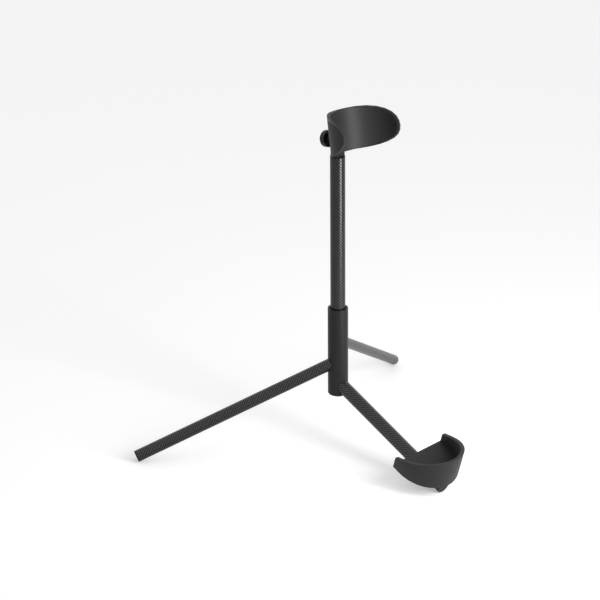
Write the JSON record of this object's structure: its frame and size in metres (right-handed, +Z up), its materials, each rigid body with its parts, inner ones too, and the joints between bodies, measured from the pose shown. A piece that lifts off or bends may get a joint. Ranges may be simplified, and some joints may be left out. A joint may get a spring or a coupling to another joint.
{
  "type": "bassoon stand",
  "caption": "Floor stand for a bassoon: a tube mast and plug-in legs in one hub, an open cup on one leg for the boot and a padded half-round cradle at the top.",
  "frame": {"origin": "centre of the hub's flat base", "axes": "+Z up along the mast, -Y along the front leg that carries the cup"},
  "size_m": [0.4723, 0.3777, 0.4842],
  "materials": {
    "carbon_tube": "clear-coated carbon weave",
    "black_plastic": "satin",
    "cup_plastic": "satin, moulded",
    "leather_lining": "fine grained",
    "rubber_ring": "matte",
    "blackened_steel": "blackened",
    "brass_insert": "turned"
  },
  "bodies": {
    "hub": {"hub": "black_plastic", "front_socket_ring": "rubber_ring", "left_socket_ring": "rubber_ring", "rear_socket_ring": "rubber_ring"},
    "mast_ring": {"mast_socket_ring": "rubber_ring"},
    "mast": {"mast_tube": "carbon_tube", "head_block": "black_plastic", "head_pin": "blackened_steel"},
    "cradle": {"cradle_band": "black_plastic", "cradle_lining": "leather_lining", "cradle_screw": "blackened_steel"},
    "knob": {"knob": "black_plastic", "knob_insert": "brass_insert", "knob_washer": "blackened_steel"},
    "front_leg": {"front_leg_tube": "carbon_tube", "front_leg_foot": "black_plastic"},
    "left_leg": {"left_leg_tube": "carbon_tube", "left_leg_foot": "black_plastic"},
    "rear_leg": {"rear_leg_tube": "carbon_tube", "rear_leg_foot": "black_plastic"},
    "cup_ring": {"cup_grip_ring": "rubber_ring"},
    "cup": {"cup": "cup_plastic"}
  },
  "joints": [
    {"name": "mast_turn", "type": "hinge", "parent": "hub", "child": "mast_ring", "pos_m": [0, 0, 0], "axis": [0, 0, 1], "continuous": true},
    {"name": "mast_lift", "type": "slide", "parent": "mast_ring", "child": "mast", "axis": [0, 0, 1], "range_m": [0, 0.0307]},
    {"name": "cradle_turn", "type": "hinge", "parent": "mast", "child": "cradle", "pos_m": [0.00036, -0.00816, 0.36676], "axis": [0.0425, -0.974, 0.2224], "continuous": true},
    {"name": "knob_turn", "type": "hinge", "parent": "cradle", "child": "knob", "pos_m": [0.00036, -0.00816, 0.36676], "axis": [0.0425, -0.974, 0.2224], "continuous": true},
    {"name": "front_leg_pull", "type": "slide", "parent": "hub", "child": "front_leg", "axis": [0, -0.9286, -0.3712], "range_m": [0, 0.02]},
    {"name": "left_leg_pull", "type": "slide", "parent": "hub", "child": "left_leg", "axis": [-0.8004, 0.4621, -0.3819], "range_m": [0, 0.022]},
    {"name": "rear_leg_pull", "type": "slide", "parent": "hub", "child": "rear_leg", "axis": [0.7551, 0.436, -0.4896], "range_m": [0, 0.024]},
    {"name": "cup_slide", "type": "slide", "parent": "front_leg", "child": "cup_ring", "axis": [0, -0.9286, -0.3712], "range_m": [-0.1, 0.015]},
    {"name": "cup_turn", "type": "hinge", "parent": "cup_ring", "child": "cup", "pos_m": [0, -0.15275, -0.04406], "axis": [0, -0.9286, -0.3712], "range_deg": [-45, 33]}
  ]
}
